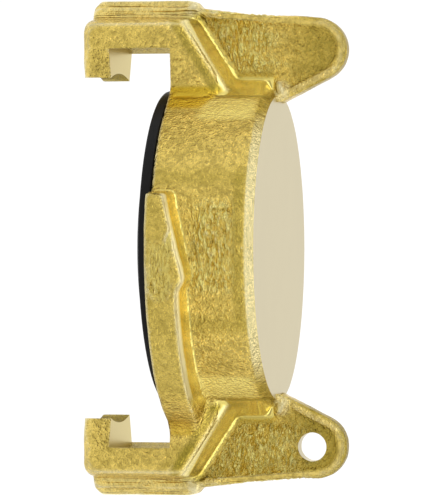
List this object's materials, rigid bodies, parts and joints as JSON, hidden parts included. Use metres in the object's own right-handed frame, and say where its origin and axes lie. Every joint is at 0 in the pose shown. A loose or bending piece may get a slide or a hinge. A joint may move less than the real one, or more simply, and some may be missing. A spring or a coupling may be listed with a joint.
{
  "type": "claw coupling blanking cap",
  "caption": "Closed cast brass cap for a quick connect claw coupling, with hooked claws, sloping ramps, finger wings, a chain hole and a black rubber sealing ring in its front.",
  "frame": {"origin": "middle of the coupling axis at the flat fronts of the claws, which are the lowest points", "axes": "+Z along the coupling axis from the claw fronts towards the closed back, +X through the claw whose wing has the chain hole"},
  "size_m": [0.0588, 0.044, 0.0308],
  "materials": {
    "cast_brass": "satin, as cast, with turned faces",
    "black_rubber": "smooth, slight sheen"
  },
  "bodies": {
    "root": {"cap_body": "cast_brass", "sealing_ring": "black_rubber"}
  },
  "joints": []
}
